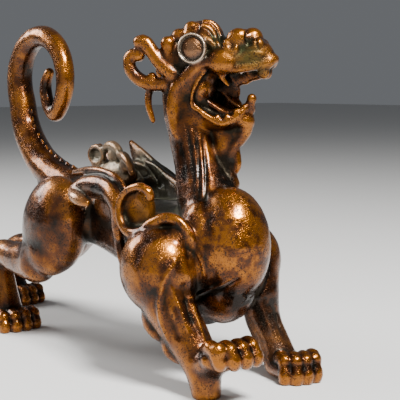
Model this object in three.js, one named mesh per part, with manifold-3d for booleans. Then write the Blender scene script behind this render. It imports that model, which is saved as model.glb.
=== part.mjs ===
import * as THREE from 'three';
import { mergeVertices } from 'three/addons/utils/BufferGeometryUtils.js';
import Module from 'manifold-3d';

// A small cast bronze pixiu: a winged, long-tailed beast that strides with one forepaw
// raised on its heel and its head turned to its left. Millimetres, +Z up, the beast
// faces -Y and its right side is -X. It stands on the soles of its own four feet.

const wasm = await Module();
wasm.setup();

// Driving dimensions
const shoulderWidth = 32;      // between the middles of the two shoulders
const bodyLine = 37;           // height of the waist's middle over the floor
const footSpread = 14;         // from the middle plane to a foot
const footBehindSpread = 8.5;  // the same for the left hind foot, which trails
const strideBehind = 33;       // how far it trails the right one
const wingShift = 11;          // how far the left wing is set behind the right one
const neckGirth = 6.4;         // radius of the neck at its middle
const headTurn = 30;           // degrees that the head turns to the beast's left
const headPlace = [0, -34.5, 86.1];
const tailGirth = 4.8;         // radius of the tail where it starts to rise
const pawWidth = 11;           // across the four toes, middle to middle
const toeCount = 4;
const floorSink = 0.6;         // how much of a foot the flat sole takes off
const spineCount = 10;         // small spines along the rump and the tail's root
const boxCentre = [-1.4, 7.4];  // middle of the finished casting, moved to the origin

const sideways = new THREE.Vector3(1, 0, 0);
const upwards = new THREE.Vector3(0, 0, 1);
const shoulder = shoulderWidth / 2;

// The head's own directions: ahead along the snout, and to the beast's left
const ahead = new THREE.Vector3(Math.sin(headTurn * Math.PI / 180), -Math.cos(headTurn * Math.PI / 180), 0);
const leftward = new THREE.Vector3().crossVectors(upwards, ahead);

function inHead([forward, left, up, ...radii]) {
	const place = new THREE.Vector3(...headPlace)
		.addScaledVector(ahead, forward)
		.addScaledVector(leftward, left)
		.addScaledVector(upwards, up);
	return [place.x, place.y, place.z, ...radii];
}

// The left wing's stops, further back and closer in than the right one's
const foldedBack = ([x, y, z, ...rest]) => [-x - 2, y + wingShift, z, ...rest];
const otherCheek = ([forward, left, ...rest]) => [forward, -left, ...rest];

function closedBody(geometry) {
	geometry.deleteAttribute('normal');
	geometry.deleteAttribute('uv');
	const merged = mergeVertices(geometry);
	return new wasm.Manifold(new wasm.Mesh({
		numProp: 3,
		vertProperties: new Float32Array(merged.attributes.position.array),
		triVerts: new Uint32Array(merged.index.array)
	}));
}

// A round-ended limb along a smooth line. A stop is x, y, z, the radius across and the
// radius the other way, which is the same one where it isn't given.
function limb(stops, { sides = 10, rings = 8, caps = 2, across = sideways } = {}) {
	const line = new THREE.CatmullRomCurve3(stops.map(([x, y, z]) => new THREE.Vector3(x, y, z)), false, 'centripetal');
	const girth = new THREE.CatmullRomCurve3(stops.map(([, , , a, b = a]) => new THREE.Vector3(a, b, 0)));
	const rows = rings + 2 * caps;
	const geometry = new THREE.SphereGeometry(1, sides, rows);
	const spots = geometry.attributes.position;
	const spot = new THREE.Vector3();
	for (let i = 0; i < spots.count; i++) {
		spot.fromBufferAttribute(spots, i);
		const row = rows * (1 - Math.acos(THREE.MathUtils.clamp(spot.y, -1, 1)) / Math.PI);
		const along = THREE.MathUtils.clamp((row - caps) / rings, 0, 1);
		const past = (row < caps ? row - caps : Math.max(0, row - caps - rings)) / caps;
		const roundOff = past * Math.PI / 2;
		const out = Math.hypot(spot.x, spot.z) || 1;
		const radius = girth.getPoint(along);
		const run = line.getTangent(along);
		const wide = across.clone().addScaledVector(run, -across.dot(run)).normalize();
		const deep = new THREE.Vector3().crossVectors(wide, run);
		const place = line.getPoint(along)
			.addScaledVector(wide, radius.x * Math.cos(roundOff) * spot.x / out)
			.addScaledVector(deep, radius.y * Math.cos(roundOff) * spot.z / out)
			.addScaledVector(run, Math.min(radius.x, radius.y) * Math.sin(roundOff));
		spots.setXYZ(i, place.x, place.y, place.z);
	}
	return closedBody(geometry);
}

// An egg at a place, with its three radii, turned about Z and then tipped about X
function egg([x, y, z], [width, length, height], { turn = 0, tip = 0, sides = 14, rows = 10 } = {}) {
	const geometry = new THREE.SphereGeometry(1, sides, rows);
	geometry.rotateX(Math.PI / 2).scale(width, length, height);
	geometry.rotateX(tip * Math.PI / 180).rotateZ(turn * Math.PI / 180).translate(x, y, z);
	return closedBody(geometry);
}

// Stops on a spiral in a fore-and-aft plane, for wing curls and the tail's end
function scroll([x, y, z], { from, to, startRadius, endRadius, steps, thick, thin, lean = 0, squash = 1 }) {
	return Array.from({ length: steps + 1 }, (_, i) => {
		const part = i / steps;
		const angle = THREE.MathUtils.lerp(from, to, part) * Math.PI / 180;
		const reach = THREE.MathUtils.lerp(startRadius, endRadius, part);
		const stout = THREE.MathUtils.lerp(thick, thin, part);
		return [x + lean * part, y + squash * reach * Math.cos(angle), z + reach * Math.sin(angle), stout];
	});
}

function trunk() {
	return [
		limb([
			[0, -46, 32, 10, 12], [0, -39, 31, 13.5, 17], [0, -24, 34.5, 12.5, 13],
			[0, -4, bodyLine + 0.6, 9.5, 10], [0, 14, 41, 10, 10], [0, 30, 42, 9, 9.5], [0, 37.5, 45, 6, 6]
		], { sides: 12, rings: 7, caps: 1 }),
		// the breast, and the belly that hangs between the forelegs
		egg([0, -50.3, 38], [10.2, 10.6, 15.4], { tip: -4, sides: 12, rows: 8 }),
		egg([0, -46.5, 25.5], [8.5, 9.5, 9.5], { sides: 9, rows: 5 }),
		limb([[0, -44, 44, 9.5, 8], [0, -38.8, 51.5, 7.6], [0, -36.2, 58.1, neckGirth],
			[0, -33.7, 65, neckGirth - 0.2], [0, -32, 73, neckGirth + 0.2], [0, -33, 80, neckGirth + 1]],
		{ sides: 9, rings: 6, caps: 1 })
	];
}

// The tail rises from the rump and rolls forward into a loop
function tailStops() {
	const root = [[0, 25, 47, 6.2], [0, 36.5, 50.5, 5.8], [0, 46.5, 56, 5.2], [0, 54.5, 65.4, tailGirth]];
	const loop = scroll([0, 43.6, 81.4], {
		from: -28, to: 236, startRadius: 15.2, endRadius: 13.2, steps: 9, thick: 4.5, thin: 2.6
	});
	const tip = [[0, 40.2, 73.4, 2.3], [0, 42, 79.6, 2], [0, 39.4, 84, 1.7]];
	return [...root, ...loop, ...tip];
}

// Short spines along the top of the tail's root, which then line the inside of its rise
function spines() {
	const stops = tailStops();
	const line = new THREE.CatmullRomCurve3(stops.map(([x, y, z]) => new THREE.Vector3(x, y, z)), false, 'centripetal');
	const lastStop = 4.2 / (stops.length - 1);
	return Array.from({ length: spineCount }, (_, i) => {
		const along = lastStop * (i + 0.3) / spineCount;
		const middle = line.getPoint(along);
		const inward = new THREE.Vector3().crossVectors(sideways, line.getTangent(along));
		const girth = THREE.MathUtils.lerp(stops[0][3], tailGirth, along / lastStop);
		const at = (out, radius) => [0, middle.y + inward.y * out, middle.z + inward.z * out, radius];
		return limb([at(girth - 1.6, 1.7), at(girth + 1.1, 0.6)], { sides: 4, rings: 1, caps: 1 });
	});
}

// Four toes side by side, each with a knuckle, in the paw's own directions
function toes([x, y, z], { turn, tall, reach }) {
	const swing = turn * Math.PI / 180;
	const aheadOfPaw = new THREE.Vector3(Math.sin(swing), -Math.cos(swing), 0);
	const rightOfPaw = new THREE.Vector3(-Math.cos(swing), -Math.sin(swing), 0);
	return Array.from({ length: toeCount }, (_, i) => {
		const side = (i / (toeCount - 1) - 0.5) * pawWidth;
		const lead = reach - 1.1 * Math.abs(i - 1.4);
		const at = (out, height, radius) => {
			const place = new THREE.Vector3(x, y, z + height)
				.addScaledVector(rightOfPaw, -side).addScaledVector(aheadOfPaw, lead + out);
			return [place.x, place.y, place.z, radius];
		};
		return limb([
			at(-4.5, tall * 0.85, 1.9), at(-0.6, tall * 0.75, 2), at(0.5, tall * 0.3, 1.8), at(0.2, -0.2, 1.75)
		], { sides: 6, rings: 3, caps: 1, across: rightOfPaw });
	});
}

function rightForeleg() {
	return [
		egg([-shoulder - 0.5, -39.5, 31.5], [9, 11.5, 12], { turn: 8, tip: -14, sides: 11, rows: 7 }),
		limb([
			[-shoulder - 0.5, -41, 31, 8.5, 9.5], [-shoulder - 0.5, -43.2, 25, 7, 8], [-shoulder, -46.8, 19.5, 5.8, 6.8],
			[-footSpread - 0.6, -51.4, 13.2, 5.2, 5.8], [-footSpread - 0.4, -55.4, 7.6, 4.7, 4.8],
			[-footSpread, -56.4, 1.3, 3.9, 3.8]
		], { sides: 9, rings: 6, caps: 1 }),
		// the paw is lifted on its heel and reaches forward
		limb([[-footSpread, -55.5, 8.5, 5, 4.2], [-footSpread, -61, 12.6, 5.8, 4.2], [-footSpread, -65.4, 14.4, 5.6, 3.8]],
			{ sides: 8, rings: 2, caps: 1 }),
		...toes([-footSpread + 0.8, -63, 11], { turn: 8, tall: 6.4, reach: 6.4 }),
		...elbowTufts()
	];
}

// Three flame-like tufts that trail down the back of the foreleg
function elbowTufts() {
	const tufts = 3;
	return Array.from({ length: tufts }, (_, i) => {
		const step = i / (tufts - 1);
		const x = -shoulder - 1.5 + 1.8 * step;
		const y = THREE.MathUtils.lerp(-36, -47, step);
		const z = THREE.MathUtils.lerp(21.5, 9.5, step);
		return limb([[x, y - 5, z + 3.4, 2.4], [x - 0.6, y, z, 2.6, 2], [x - 0.3, y - 1.2, z - 3.6, 1.4, 1]],
			{ sides: 5, rings: 2, caps: 1 });
	});
}

function leftForeleg() {
	return [
		egg([shoulder - 1.5, -41.5, 31.5], [8, 10.5, 10.5], { turn: -8, tip: -14, sides: 9, rows: 6 }),
		limb([
			[footSpread - 0.6, -44, 30, 7.5, 8.5], [footSpread - 1.2, -47, 23, 5.6, 6.2],
			[footSpread - 1.2, -48.8, 16, 4.7, 5.2], [footSpread, -52, 9, 4.5, 4.9], [footSpread + 0.5, -55, 4.2, 5.2, 4.2]
		], { sides: 9, rings: 5, caps: 1 }),
		limb([[footSpread + 0.8, -54.5, 3.6, 5.4, 3.8], [footSpread - 0.2, -59.6, 3.6, 6, 3.6]],
			{ sides: 8, rings: 1, caps: 1 }),
		...toes([footSpread + 1.2, -56.4, 1.2], { turn: -26, tall: 6.8, reach: 4.8 })
	];
}

// A hind leg: the haunch, the shank that runs back to the hock, and the foot below it
function hindLeg(side, { hip, haunch, lean, knee, hock, ankle, foot, toesAhead }) {
	const at = ([x, y, z], ...radii) => [side * x, y, z, ...radii];
	const middle = knee.map((value, i) => (value + hock[i]) / 2);
	return [
		egg(at(hip), haunch, { tip: lean, sides: 11, rows: 7 }),
		limb([at(hip, 7.5, 9), at(knee, 6, 7)], { sides: 8, rings: 1, caps: 1 }),
		limb([at(knee, 5.6, 6.6), at(middle, 4.8, 5.2), at(hock, 3.7, 3.9), at(ankle, 3.7, 4.2), at(foot, 4.8, 4)],
			{ sides: 8, rings: 7, caps: 1 }),
		limb([at(foot, 5, 3.8), at([foot[0], foot[1] - 5.5, 3.4], 5.8, 3.5)], { sides: 8, rings: 1, caps: 1 }),
		...toes(at([foot[0], foot[1] - toesAhead, 1.2]), { turn: side * 4, tall: 5.6, reach: 4.6 })
	];
}

// One side's wing: a band climbs the shoulder and rolls up, a second arch hooks over behind it,
// and a narrow band runs down the ribs
function wing(place) {
	const band = [
		[-15.5, -51, 32, 1.4], [-16.4, -50.2, 38.5, 2.1], [-17.6, -46.4, 43, 2.4], [-19.4, -39, 41, 2.3]
	];
	const curl = scroll([-19.6, -32, 47.6], {
		from: -95, to: 245, startRadius: 7.4, endRadius: 4.8, steps: 8, thick: 2.2, thin: 1.5, lean: 2.6, squash: 0.72
	});
	const arch = [
		[-17, -27, 38, 2], [-17.6, -24, 44.5, 2.6], [-15.4, -15, 50.8, 3], [-14.4, -5, 52.2, 3],
		[-14.6, 2.4, 50.4, 2.6], [-15.8, 4.8, 47.2, 2.3], [-16.6, 0.6, 45.6, 1.9]
	];
	const upperRidge = [
		[-12, -22, 45.5, 2], [-12, -18, 51.2, 2.1], [-12, -10, 54, 2.3], [-11.5, 2, 54.8, 2.2], [-9.5, 11, 53.6, 1.4]
	];
	const ribBand = [[-14, -16.5, 45, 2], [-14.6, -19.2, 37, 2], [-15, -23, 29.5, 1.9], [-15.2, -31, 20.5, 1.3]];
	return [
		limb([...band, ...curl].map(place), { sides: 6, rings: 13, caps: 1 }),
		limb(arch.map(place), { sides: 6, rings: 7, caps: 1 }),
		limb(upperRidge.map(place), { sides: 6, rings: 5, caps: 1 }),
		limb(ribBand.map(place), { sides: 6, rings: 4, caps: 1 }),
		// the webs that the bands edge
		egg(place([-14, -33.5, 46]), [4, 7.5, 8], { sides: 8, rows: 5 }),
		egg(place([-11.4, -11, 46]), [4, 14, 6], { sides: 8, rows: 5 }),
		egg(place([-10, -30, 34.5]), [5.4, 8.5, 11], { sides: 8, rows: 5 })
	];
}

// The left wing stands over the back: two long blades, and a row of knobs on the spine's side
function raisedWing() {
	const blades = [
		[[8, -23, 44, 3, 3.4], [9.5, -12, 48.5, 2.8, 5.6], [11.5, 0, 52.5, 2.4, 6], [12.6, 8, 57.5, 2, 4], [13, 12.5, 62, 1.2]],
		[[7, -4, 45, 3, 4.4], [8, 8, 49.5, 2.6, 5.4], [10, 19, 54.5, 2.2, 4.2], [11.6, 28, 60.6, 1.2]]
	];
	const knobs = Array.from({ length: 4 }, (_, i) => egg(
		[5.6 + i, 1.5 + 6.6 * i, 55 + 0.9 * i], [2.6, 3.4, 3], { sides: 6, rows: 4 }
	));
	return [...blades.map((stops) => limb(stops, { sides: 6, rings: 5, caps: 1 })), ...knobs];
}

// The head: skull, upper jaw with its scrolled nose, lower jaw, cheeks, eyes and locks
function head() {
	const part = (stops, options = {}) => limb(stops.map(inHead), { across: leftward, ...options });
	const bothSides = (stops, options) => [part(stops, options), part(stops.map(otherCheek), options)];
	const swell = (place, radii, options = {}) => egg(inHead(place).slice(0, 3), radii, { turn: headTurn, ...options });
	return [
		swell([0, 0, 0.6], [6.8, 9.5, 7.4], { sides: 8, rows: 6 }),
		part([[2, 0, 0.3, 7, 4.4], [10, 0, 0.2, 6.2, 3.4], [17, 0, 0.8, 4.8, 2.8], [23, 0, 0.3, 2, 1.3]],
			{ sides: 8, rings: 4, caps: 1 }),
		// the bridge of the nose, and the three scrolls at its end
		part([[4, 0, 4.4, 5, 4.4], [9.6, 0, 3.2, 4.4, 3.8], [15, 0, 2.8, 4.2, 3.6], [18.4, 0, 1.6, 3, 2.6]],
			{ sides: 8, rings: 3, caps: 1 }),
		swell([17.2, 0, 5.4], [2.5, 2.5, 2.5], { sides: 6, rows: 4 }),
		swell([14, -3.4, 5.4], [2.4, 2.4, 2.4], { sides: 6, rows: 4 }),
		swell([14, 3.4, 5.4], [2.4, 2.4, 2.4], { sides: 6, rows: 4 }),
		// jaw, chin and the beard that reaches the breast
		part([[-3, 0, -10.5, 5.6, 4.5], [3, 0, -14.2, 5.2, 2.8], [9, 0, -16, 4.2, 2.1],
			[13.8, 0, -14.6, 3, 1.9], [16.4, 0, -11.4, 1.4]], { sides: 7, rings: 4, caps: 1 }),
		part([[14.6, 0, -13, 2.2], [16.6, 0, -15.6, 2], [14.6, 0, -19.6, 1.8], [11.6, 0, -21.6, 1.6],
			[10, 0, -25, 1.8], [10.2, 0, -28.6, 1.9], [10.6, 0, -33, 2.8]], { sides: 5, rings: 7, caps: 1 }),
		part([[2, 0, -9.4, 2.6, 1.6], [8, 0, -12, 2.4, 1.2], [12, 0, -13, 1.4, 0.9]], { sides: 5, rings: 2, caps: 1 }),
		// the back of the mouth, over the neck
		part([[-4, 0, -3, 5.8, 5], [-4.6, 0, -9, 5.4, 4.6], [-4, 0, -15, 5.2, 4.6]], { sides: 8, rings: 2, caps: 1 }),
		...bothSides([[2.4, -5.4, -1.4, 1.5], [-2, -6, -4.6, 2], [-4, -6, -10, 2.1], [-3.4, -5.4, -16, 2], [0, -4.6, -19, 1.5]],
			{ sides: 5, rings: 4, caps: 1 }),
		// fangs and front teeth
		...bothSides([[9, -4.4, -1.6, 1.6], [9.6, -4.4, -4.4, 1.2], [11, -4.2, -7, 0.5]], { sides: 4, rings: 2, caps: 1 }),
		...bothSides([[18.5, -1.2, -1, 1.4], [20.4, -1.2, -4.4, 0.9]], { sides: 4, rings: 1, caps: 1 }),
		// eyes, and the brows that run back from the nose
		swell([1.9, -5.6, 3.6], [2.4, 3.9, 3.9], { sides: 8, rows: 6 }),
		swell([1.9, 5.6, 3.6], [2.4, 3.9, 3.9], { sides: 8, rows: 6 }),
		...bothSides([[10, -3.6, 4.4, 1.6], [6.4, -4.4, 6.8, 1.9], [1, -4, 8.2, 1.9], [-4.4, -3.8, 7, 1.6], [-8, -4, 4, 1.1]],
			{ sides: 5, rings: 4, caps: 1 }),
		part([[9, 0, 7, 1.8], [4.6, 0, 9.2, 2.3], [-1, 0, 8.6, 2.4], [-6.4, 0, 5, 2.3], [-9.6, 0, 0.4, 1.6]],
			{ sides: 5, rings: 4, caps: 1 }),
		// locks that curl up behind the head
		...bothSides([[-4, -4.6, -2, 2.4], [-8.4, -5, 1.4, 2.2], [-11.6, -5, 5.2, 1.9], [-14.4, -5, 5.6, 1.6], [-15.2, -5, 3.4, 1.2]],
			{ sides: 5, rings: 5, caps: 1 }),
		...bothSides([[-5, -3.6, -5, 2.3], [-11, -4, -4.8, 2], [-16.4, -4, -3.6, 1.7], [-18, -4, -0.4, 1.5], [-16, -4, 1.8, 1.3]],
			{ sides: 5, rings: 6, caps: 1 }),
		...bothSides([[-5, -2.6, -7, 2], [-10.6, -3, -7, 1.4], [-12.6, -3, -10.6, 1.2], [-11.4, -3, -15.6, 0.8]],
			{ sides: 4, rings: 3, caps: 1 })
	];
}

function casting() {
	const rightHind = {
		hip: [12, 18, 37], haunch: [8.5, 13.5, 16], lean: 28,
		knee: [footSpread + 0.5, 25, 24.5], hock: [footSpread, 49.5, 24.5],
		ankle: [footSpread - 0.5, 47.5, 14], foot: [footSpread - 0.5, 44.5, 4.2], toesAhead: 3.4
	};
	// the left one pushes off from further back
	const leftHind = {
		hip: [10.5, 31, 39.5], haunch: [8, 15.5, 12], lean: -14,
		knee: [11.5, 46, 26.5], hock: [footBehindSpread + 1, 49 + strideBehind, 19.5],
		ankle: [footBehindSpread, 48 + strideBehind, 11], foot: [footBehindSpread, 45 + strideBehind, 4], toesAhead: 3.4
	};
	const forms = [
		...trunk(), limb(tailStops(), { sides: 8, rings: 22, caps: 1 }), ...spines(), ...rightForeleg(), ...leftForeleg(),
		...hindLeg(-1, rightHind), ...hindLeg(1, leftHind),
		...wing((stop) => stop), ...wing(foldedBack), ...raisedWing(), ...head()
	];
	const whole = forms.reduce((sum, form) => sum.add(form));
	// flat soles, where the feet meet the floor
	const underFloor = new THREE.BoxGeometry(200, 300, 40);
	underFloor.translate(0, 0, floorSink - 20);
	return whole.subtract(closedBody(underFloor)).translate(-boxCentre[0], -boxCentre[1], -floorSink);
}

function toGeometry(body) {
	const mesh = body.getMesh();
	const geometry = new THREE.BufferGeometry();
	geometry.setAttribute('position', new THREE.BufferAttribute(new Float32Array(mesh.vertProperties), 3));
	geometry.setIndex(new THREE.BufferAttribute(new Uint32Array(mesh.triVerts), 1));
	geometry.computeVertexNormals();
	return geometry;
}

const bronze = new THREE.MeshStandardMaterial({ color: 0x6e3714, roughness: 0.38, metalness: 0.85 });

const figurine = new THREE.Group();
const pixiu = new THREE.Mesh(toGeometry(casting()), bronze);
pixiu.name = 'pixiu';
figurine.add(pixiu);

export default figurine;
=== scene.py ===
import math
import bpy
import bmesh
import numpy as np
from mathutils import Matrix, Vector, noise
from mathutils.bvhtree import BVHTree


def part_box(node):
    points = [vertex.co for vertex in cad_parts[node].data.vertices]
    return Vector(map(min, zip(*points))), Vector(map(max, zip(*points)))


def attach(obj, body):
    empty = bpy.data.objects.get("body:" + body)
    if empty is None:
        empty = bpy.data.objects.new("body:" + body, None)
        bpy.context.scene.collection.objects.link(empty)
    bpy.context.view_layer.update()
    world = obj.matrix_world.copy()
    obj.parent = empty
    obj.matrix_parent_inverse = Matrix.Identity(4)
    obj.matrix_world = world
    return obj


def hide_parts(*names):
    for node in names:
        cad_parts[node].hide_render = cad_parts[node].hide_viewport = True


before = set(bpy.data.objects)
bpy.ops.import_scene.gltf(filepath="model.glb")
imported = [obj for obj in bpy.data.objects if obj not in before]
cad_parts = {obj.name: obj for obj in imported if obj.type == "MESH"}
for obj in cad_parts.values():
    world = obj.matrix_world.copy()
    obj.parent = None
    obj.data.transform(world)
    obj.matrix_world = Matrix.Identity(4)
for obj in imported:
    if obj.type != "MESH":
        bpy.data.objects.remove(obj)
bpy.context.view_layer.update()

# Lengths are millimetres in the beast's own frame, the one of the CAD source: it faces -Y,
# its right side is -X, and the row frame is toRow away.
toRow = np.array([1.4, -7.4, -0.6])
metre = 1000.0

figurine = {
    "headPlace": (0, -34.5, 86.1),
    "headTurn": 30,          # degrees to the beast's left
    "wingShift": 11,         # the left wing is this far behind the right one,
    "wingTuck": 2,           # and this much nearer the middle
    "toeCount": 4,
    "pawWidth": 11,          # across the toes, middle to middle
    "spineCount": 11,
    "soleHeight": 0.6,       # the floor cuts the feet here
    "coarseGrain": 0.62,     # voxel sizes of the three rounds of modelling
    "mediumGrain": 0.4,
    "fineGrain": 0.3,
    "triangles": 192000,
}
formDetail = {
    "lineSteps": 160,        # steps along a limb's line
    "stepsPerStop": 30,      # finer steps that the even ones are measured on
    "ringLength": 0.9,
    "capRows": 4,
    "limbSides": 20,
    "bodySides": 32,
    "eggSides": 28,
    "eggRows": 20,
}
photoView = {
    "place": (-180.0, -251.6, 80.0),
    "azimuth": 40,           # degrees from +Y towards +X that the camera looks
    "down": 6.4,
    "focal": 1029,           # in pixels of a square frame
    "frameSize": 400,
}


# Even steps along a smooth line through the stops; whatever else a stop carries goes along
def smoothLine(stops, count):
    p = np.array(stops, float)
    gaps = np.linalg.norm(np.diff(p[:, :3], axis=0), axis=1)
    steps = np.sqrt(np.maximum(gaps, 1e-6))
    knots = np.concatenate([[0], np.cumsum(steps)])
    slope = np.diff(p, axis=0) / steps[:, None]
    lead = np.concatenate([slope[:1], slope[-1:]])
    if len(p) > 2:
        before, after = steps[:-1, None], steps[1:, None]
        inner = (slope[:-1] * after + slope[1:] * before) / (before + after)
        lead = np.concatenate([slope[:1], inner, slope[-1:]])
    t = np.linspace(0, knots[-1], formDetail["stepsPerStop"] * len(p))
    i = np.clip(np.searchsorted(knots, t, side="right") - 1, 0, len(p) - 2)
    s = ((t - knots[i]) / steps[i])[:, None]
    span = steps[i][:, None]
    fine = ((2 * s**3 - 3 * s**2 + 1) * p[i] + (s**3 - 2 * s**2 + s) * lead[i] * span
            + (3 * s**2 - 2 * s**3) * p[i + 1] + (s**3 - s**2) * lead[i + 1] * span)
    run = np.concatenate([[0], np.cumsum(np.linalg.norm(np.diff(fine[:, :3], axis=0), axis=1))])
    even = np.linspace(0, run[-1], count)
    return np.stack([np.interp(even, run, fine[:, k]) for k in range(fine.shape[1])], axis=1)


def unit(v):
    return v / np.maximum(np.linalg.norm(v, axis=-1, keepdims=True), 1e-9)


def getPoints(mesh, what="co"):
    flat = np.empty(3 * len(mesh.vertices), np.float32)
    mesh.vertices.foreach_get(what, flat)
    return flat.reshape(-1, 3).astype(float)


def setPoints(mesh, points):
    mesh.vertices.foreach_set("co", np.ascontiguousarray(points, np.float32).ravel())
    mesh.update()


def newBall(sides, rows):
    bm = bmesh.new()
    bmesh.ops.create_uvsphere(bm, u_segments=sides, v_segments=rows, radius=1)
    mesh = bpy.data.meshes.new("form")
    bm.to_mesh(mesh)
    bm.free()
    return mesh


# A round-ended limb along a smooth line. A stop is x, y, z, the radius across and the
# radius the other way, which is the same one where it isn't given.
def limb(stops, across=(1, 0, 0), sides=formDetail["limbSides"]):
    stops = [tuple(stop) + (stop[3],) * (5 - len(stop)) for stop in stops]
    line = smoothLine(stops, formDetail["lineSteps"])
    length = np.linalg.norm(np.diff(line[:, :3], axis=0), axis=1).sum()
    rings = max(5, int(length / formDetail["ringLength"]))
    caps = formDetail["capRows"]
    rows = rings + 2 * caps
    mesh = newBall(sides, rows)
    spot = getPoints(mesh)
    row = rows * (1 - np.arccos(np.clip(spot[:, 2], -1, 1)) / math.pi)
    along = np.clip((row - caps) / rings, 0, 1)
    past = (np.minimum(row - caps, 0) + np.maximum(row - caps - rings, 0)) / caps
    step = along * (len(line) - 1)
    here = np.stack([np.interp(step, np.arange(len(line)), line[:, k]) for k in range(5)], axis=1)
    lead = unit(np.gradient(line[:, :3], axis=0))
    run = unit(np.stack([np.interp(step, np.arange(len(line)), lead[:, k]) for k in range(3)], axis=1))
    side = np.array(across, float)
    wide = unit(side - run * (run @ side)[:, None])
    deep = np.cross(wide, run)
    out = unit(spot[:, :2])
    swell = np.cos(past * math.pi / 2)
    radiusWide, radiusDeep = here[:, 3], here[:, 4]
    endBulge = np.minimum(radiusWide, radiusDeep) * np.sin(past * math.pi / 2)
    setPoints(mesh, here[:, :3] + wide * (radiusWide * swell * out[:, 0])[:, None]
              + deep * (radiusDeep * swell * out[:, 1])[:, None]
              + run * endBulge[:, None])
    return mesh


def turned(points, axis, degrees):
    a = math.radians(degrees)
    i, j = {"x": (1, 2), "z": (0, 1)}[axis]
    new = points.copy()
    new[:, i] = points[:, i] * math.cos(a) - points[:, j] * math.sin(a)
    new[:, j] = points[:, i] * math.sin(a) + points[:, j] * math.cos(a)
    return new


# An egg with its three radii, tipped about X and turned about Z
def egg(place, radii, turn=0, tip=0):
    mesh = newBall(formDetail["eggSides"], formDetail["eggRows"])
    points = getPoints(mesh) * np.array(radii, float)
    points = turned(turned(points, "x", tip), "z", turn)
    setPoints(mesh, points + np.array(place[:3], float))
    return mesh


# Stops on a spiral in a fore-and-aft plane, from one angle, reach and thickness to another
def scroll(centre, angles, reaches, stoutness):
    stops = []
    for part in np.linspace(0, 1, 12):
        angle, reach, stout = (pair[0] + (pair[1] - pair[0]) * part for pair in (angles, reaches, stoutness))
        angle = math.radians(angle)
        stops.append((centre[0], centre[1] + reach * math.cos(angle),
                      centre[2] + reach * math.sin(angle), stout))
    return stops


def joined(meshes):
    bm = bmesh.new()
    for mesh in meshes:
        bm.from_mesh(mesh)
        bpy.data.meshes.remove(mesh)
    whole = bpy.data.meshes.new("casting")
    bm.to_mesh(whole)
    bm.free()
    return whole


def modified(mesh, kind, **settings):
    obj = bpy.data.objects.new("working", mesh)
    bpy.context.scene.collection.objects.link(obj)
    modifier = obj.modifiers.new("step", kind)
    for key, value in settings.items():
        setattr(modifier, key, value)
    done = bpy.data.meshes.new_from_object(obj.evaluated_get(bpy.context.evaluated_depsgraph_get()))
    bpy.data.objects.remove(obj)
    bpy.data.meshes.remove(mesh)
    return done


def fused(meshes, grain):
    return modified(joined(meshes), "REMESH", mode="VOXEL", voxel_size=grain, adaptivity=0)


def edgesOf(mesh):
    ends = np.empty(2 * len(mesh.edges), np.int32)
    mesh.edges.foreach_get("vertices", ends)
    return ends.reshape(-1, 2).T


def averaged(values, ends, times):
    a, b = ends
    n = len(values)
    share = np.maximum(np.bincount(a, minlength=n) + np.bincount(b, minlength=n), 1)
    for _ in range(times):
        near = np.stack([np.bincount(a, values[b, k], n) + np.bincount(b, values[a, k], n)
                         for k in range(values.shape[1])], axis=1)
        values = 0.5 * values + 0.5 * near / share[:, None]
    return values


# Rounds inner corners in full and outer ones by the share given, so that thin forms stay
def soften(mesh, times, outer):
    ends = edgesOf(mesh)
    for _ in range(times):
        points = getPoints(mesh)
        normals = getPoints(mesh, "normal")
        move = averaged(points, ends, 1) - points
        rise = (move * normals).sum(axis=1, keepdims=True)
        move -= normals * np.minimum(rise, 0) * (1 - outer)
        setPoints(mesh, points + move)


# The head's own directions: ahead along the snout, to the beast's left, and up
headAngle = math.radians(figurine["headTurn"])
ahead = np.array([math.sin(headAngle), -math.cos(headAngle), 0])
leftward = np.cross((0, 0, 1), ahead)


def inHead(stop):
    place = np.array(figurine["headPlace"]) + ahead * stop[0] + leftward * stop[1]
    return (place[0], place[1], place[2] + stop[2]) + tuple(stop[3:])


def headLimb(stops):
    return limb([inHead(stop) for stop in stops], leftward)


def headEgg(place, radii, tip=0):
    return egg(inHead(place), radii, figurine["headTurn"], tip)


def limbPair(stops):
    other = [(stop[0], -stop[1]) + tuple(stop[2:]) for stop in stops]
    return [headLimb(stops), headLimb(other)]


def eggPair(place, radii, tip=0):
    return [headEgg(place, radii, tip), headEgg((place[0], -place[1], place[2]), radii, tip)]


def trunk():
    return [
        limb([(0, -46, 32, 10, 12), (0, -39, 31, 13.5, 17), (0, -24, 34.5, 12.5, 13), (0, -4, 37.6, 9.5, 10),
              (0, 14, 41, 10, 10), (0, 30, 42, 9, 9.5), (0, 37.5, 45, 6, 6)], sides=40),
        egg((0, -50.3, 38), (10.2, 10.6, 15.2), tip=-4),
        egg((-6.4, -46, 37.4), (6.2, 8.4, 12.6), tip=-4),
        egg((6.4, -45.5, 38), (6.4, 8.4, 12), tip=-4),
        egg((0, -46.5, 25.5), (8.5, 9.5, 9.5)),
        limb([(0, -44, 44, 9.5, 8), (0, -38.8, 51.5, 7.8), (0, -36.2, 58.1, 6.4), (0, -33.7, 65, 6.2),
              (0, -32, 73, 6.6), (0, -33, 80, 7.4)], sides=formDetail["bodySides"]),
    ]


def tail():
    root = [(0, 25, 47, 6.2), (0, 36.5, 50.5, 5.8), (0, 46.5, 56, 5.2), (0, 54.5, 65.4, 4.8)]
    loop = scroll((0, 43.6, 81.4), angles=(-28, 236), reaches=(15.2, 13.2), stoutness=(4.5, 2.6))
    tip = [(0, 40.2, 73.4, 2.3), (0, 42, 79.6, 2), (0, 39.4, 84, 1.7)]
    return root + loop + tip


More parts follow.
